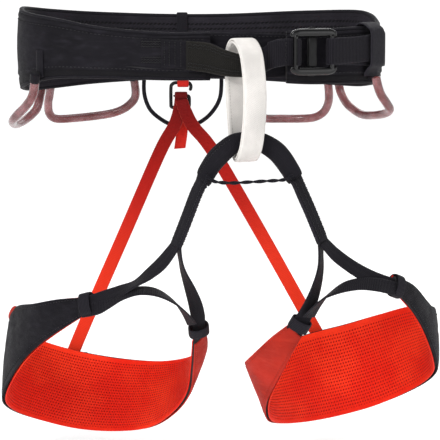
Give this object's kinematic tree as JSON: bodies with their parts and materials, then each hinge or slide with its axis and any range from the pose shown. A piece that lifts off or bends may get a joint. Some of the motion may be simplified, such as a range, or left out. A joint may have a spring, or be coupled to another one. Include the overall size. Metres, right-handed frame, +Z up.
{
  "type": "climbing harness",
  "caption": "Sit harness with padded waistbelt, speed buckle, white belay loop, padded leg loops, elastic rear risers on a wire hook, and tubular gear loops.",
  "frame": {"origin": "Centre of the waistbelt ring at the belt's mid-height.", "axes": "+X to the right as seen from the front, -Y to the front where the belay loop hangs, +Z up along the wearer's body."},
  "size_m": [0.3714, 0.2183, 0.3749],
  "materials": {
    "softshell": "matte woven softshell",
    "foam": "closed-cell foam",
    "dark_mesh": "black open spacer mesh",
    "binding": "woven edge binding",
    "black_webbing": "flat woven nylon webbing",
    "wear_fabric": "dense abrasion-resistant weave",
    "charcoal_elastic": "ribbed elastic",
    "buckle_metal": "gloss black coating",
    "hook_metal": "satin black coating",
    "clear_tube": "translucent flexible tube",
    "coral_core": "braided core",
    "black_cord": "round braided cord",
    "red_webbing": "red elastic webbing",
    "white_webbing": "white woven webbing",
    "red_fabric": "red softshell",
    "red_mesh": "perforated red mesh"
  },
  "bodies": {
    "waist": {"belt_shell": "softshell", "belt_foam": "foam", "belt_mesh": "dark_mesh", "belt_top_piping": "binding", "belt_lower_piping": "binding", "belt_tongue": "softshell", "belt_rear_label_tab": "binding", "tie_in_strap": "black_webbing", "tie_in_wear_sleeve": "wear_fabric", "buckle_anchor_strap": "black_webbing", "buckle_frame": "buckle_metal", "waist_strap": "black_webbing", "belt_keeper": "charcoal_elastic", "gear_patches": "black_webbing", "rear_hook_tab": "red_webbing"},
    "slider": {"buckle_slider": "buckle_metal"},
    "gear_front_left": {"gear_tube_front_left": "clear_tube", "gear_core_front_left": "coral_core"},
    "gear_rear_left": {"gear_tube_rear_left": "clear_tube", "gear_core_rear_left": "coral_core"},
    "gear_rear_right": {"gear_tube_rear_right": "clear_tube", "gear_core_rear_right": "coral_core"},
    "gear_front_right": {"gear_tube_front_right": "clear_tube", "gear_core_front_right": "coral_core"},
    "haul": {"haul_loop": "black_cord"},
    "hook": {"rear_hook": "hook_metal", "riser_top_wrap": "red_webbing", "riser_tail": "red_webbing"},
    "left_riser": {"riser_left": "red_webbing"},
    "right_riser": {"riser_right": "red_webbing"},
    "belay": {"belay_loop_outer": "white_webbing", "belay_loop_inner": "white_webbing"},
    "bridge": {"bridge_sleeve": "wear_fabric", "bridge_webbing": "black_webbing", "bridge_cord": "black_cord"},
    "left_leg": {"left_leg_foam": "foam", "left_leg_outer_shell": "softshell", "left_leg_thigh_panel": "red_fabric", "left_leg_mesh": "red_mesh", "left_yoke": "black_webbing", "left_outer_strand": "black_webbing", "left_inner_strand": "black_webbing", "left_cross_strap": "black_webbing", "left_outer_keeper": "charcoal_elastic", "left_inner_keeper": "charcoal_elastic", "left_riser_pocket": "softshell"},
    "right_leg": {"right_leg_foam": "foam", "right_leg_outer_shell": "softshell", "right_leg_thigh_panel": "red_fabric", "right_leg_mesh": "red_mesh", "right_yoke": "black_webbing", "right_outer_strand": "black_webbing", "right_inner_strand": "black_webbing", "right_cross_strap": "black_webbing", "right_outer_keeper": "charcoal_elastic", "right_inner_keeper": "charcoal_elastic", "right_riser_pocket": "softshell"}
  },
  "joints": [
    {"name": "belay_swing", "type": "hinge", "parent": "waist", "child": "belay", "pos_m": [0.0364, -0.095, -0.001], "axis": [1, 0, 0], "range_deg": [-6, 6]},
    {"name": "bridge_swing", "type": "hinge", "parent": "belay", "child": "bridge", "pos_m": [0.0364, -0.095, -0.0619], "axis": [1, 0, 0], "range_deg": [-6, 6]},
    {"name": "left_leg_spread", "type": "hinge", "parent": "bridge", "child": "left_leg", "pos_m": [0.0028, -0.095, -0.093], "axis": [0, 1, 0], "range_deg": [-4, 8], "stiffness_Nm_per_rad": 4},
    {"name": "right_leg_spread", "type": "hinge", "parent": "bridge", "child": "right_leg", "pos_m": [0.077, -0.095, -0.0924], "axis": [0, 1, 0], "range_deg": [-8, 4], "stiffness_Nm_per_rad": 4},
    {"name": "hook_swing", "type": "hinge", "parent": "waist", "child": "hook", "pos_m": [-0.0155, 0.085, -0.026], "axis": [1, 0, 0], "range_deg": [-4, 4]},
    {"name": "left_riser_fan", "type": "hinge", "parent": "hook", "child": "left_riser", "pos_m": [-0.0172, 0.085, -0.0375], "axis": [0, 1, 0], "range_deg": [-3.5, 6.5]},
    {"name": "right_riser_fan", "type": "hinge", "parent": "hook", "child": "right_riser", "pos_m": [-0.0172, 0.085, -0.0375], "axis": [0, 1, 0], "range_deg": [-6.5, 3.5]},
    {"name": "gear_front_left_flex", "type": "hinge", "parent": "waist", "child": "gear_front_left", "pos_m": [-0.13191, -0.05593, -0.011], "axis": [-0.0247, 0.9963, -0.0819], "range_deg": [-3, 60], "stiffness_Nm_per_rad": 0.2},
    {"name": "gear_rear_left_flex", "type": "hinge", "parent": "waist", "child": "gear_rear_left", "pos_m": [-0.12759, 0.05938, -0.02], "axis": [0.9365, 0.3481, 0.0411], "range_deg": [-3, 60], "stiffness_Nm_per_rad": 0.2},
    {"name": "gear_rear_right_flex", "type": "hinge", "parent": "waist", "child": "gear_rear_right", "pos_m": [0.04334, 0.08679, -0.016], "axis": [0.9684, -0.2423, -0.0587], "range_deg": [-3, 60], "stiffness_Nm_per_rad": 0.2},
    {"name": "gear_front_right_flex", "type": "hinge", "parent": "waist", "child": "gear_front_right", "pos_m": [0.143, -0.04433, -0.014], "axis": [0.2208, -0.9743, 0.0443], "range_deg": [-3, 60], "stiffness_Nm_per_rad": 0.2},
    {"name": "haul_loop_swing", "type": "hinge", "parent": "waist", "child": "haul", "pos_m": [-0.0155, 0.0875, -0.016], "axis": [1, 0, 0], "range_deg": [0, 75]},
    {"name": "buckle_pinch", "type": "slide", "parent": "waist", "child": "slider", "axis": [0.9455, 0.3256, 0], "range_m": [-0.0015, 0.0015]}
  ],
  "couplings": [
    {"joint": "bridge_swing", "follows": "belay_swing", "ratio": -1},
    {"joint": "hook_swing", "follows": "belay_swing", "ratio": 0.27},
    {"joint": "left_riser_fan", "follows": "left_leg_spread", "ratio": 0.757},
    {"joint": "right_riser_fan", "follows": "right_leg_spread", "ratio": 0.747}
  ]
}
